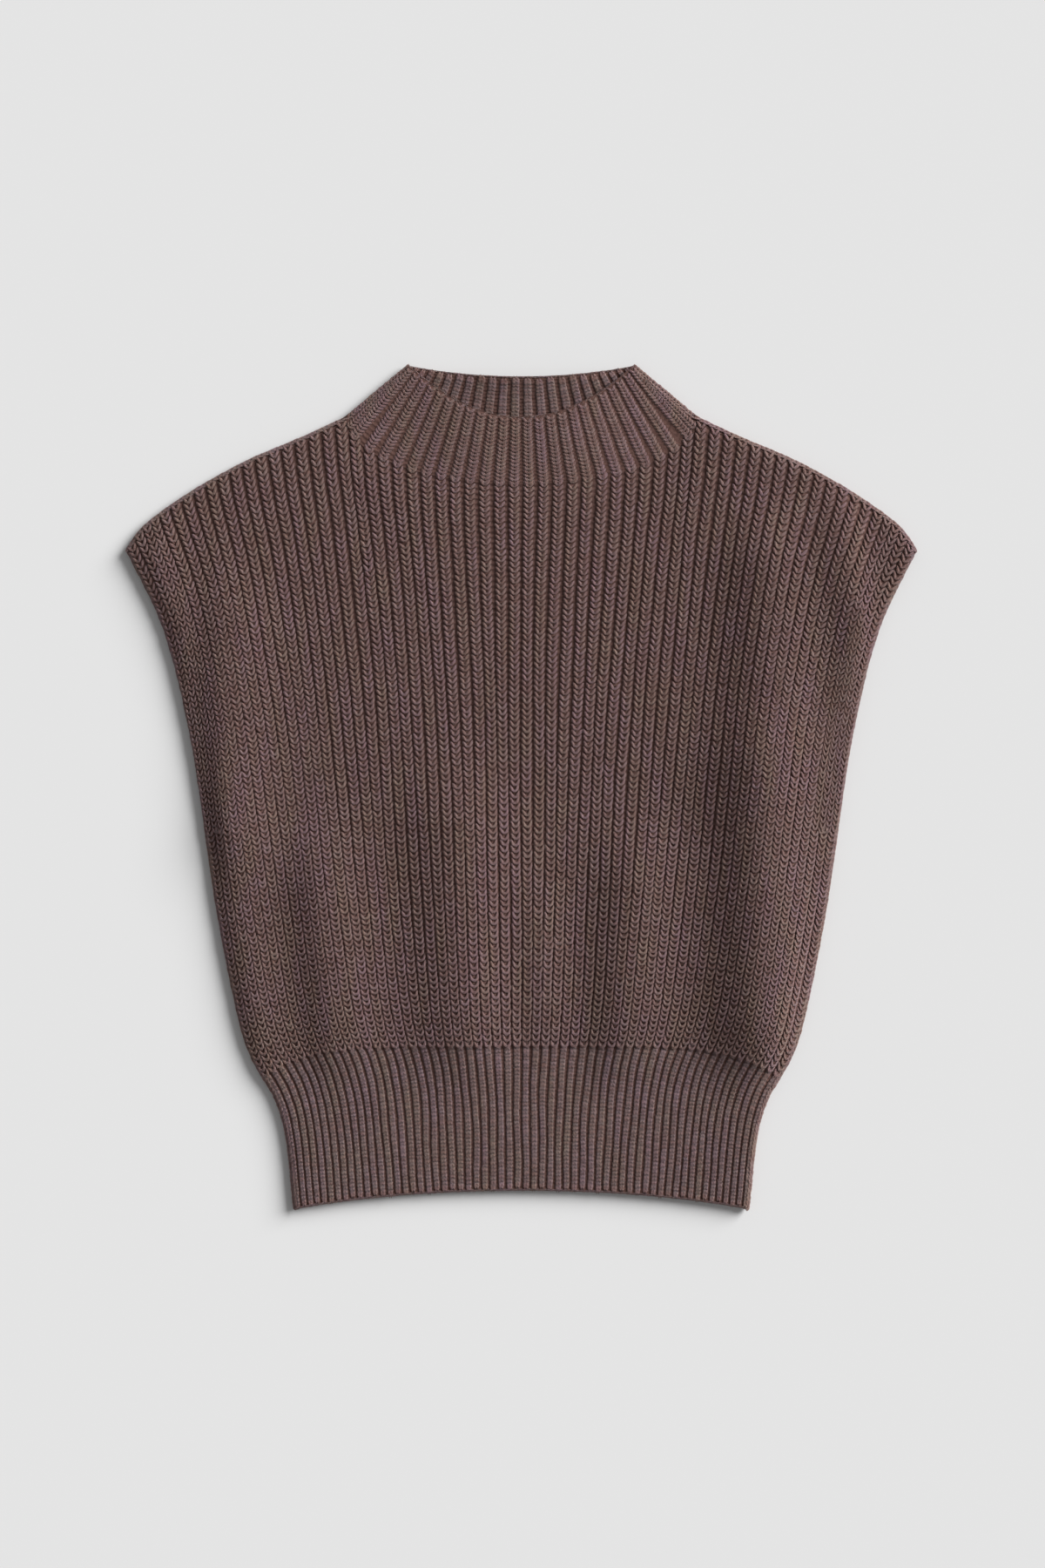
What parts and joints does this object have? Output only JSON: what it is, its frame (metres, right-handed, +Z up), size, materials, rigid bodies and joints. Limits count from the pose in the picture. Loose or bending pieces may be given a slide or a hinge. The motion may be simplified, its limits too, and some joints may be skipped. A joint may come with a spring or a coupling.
{
  "type": "sleeveless mock neck sweater",
  "caption": "Chunky rib-knit sleeveless sweater with a short stand collar, cap shoulders and a deep ribbed hem, laid flat front up.",
  "frame": {"origin": "centre of the garment's bounding box, on the surface it lies on", "axes": "+Z up through the layers, the way the front faces; +Y from the hem to the collar; +X to the right as seen from above"},
  "size_m": [0.5442, 0.581, 0.0275],
  "materials": {
    "half_cardigan_knit": "matte wool-like yarn, chunky half-cardigan rib",
    "fine_rib_knit": "matte wool-like yarn, fine 1x1 rib"
  },
  "bodies": {
    "root": {"front_body": "half_cardigan_knit", "back_body": "half_cardigan_knit", "front_hem_rib": "fine_rib_knit", "back_hem_rib": "fine_rib_knit", "front_collar": "fine_rib_knit", "back_collar": "fine_rib_knit"}
  },
  "joints": []
}
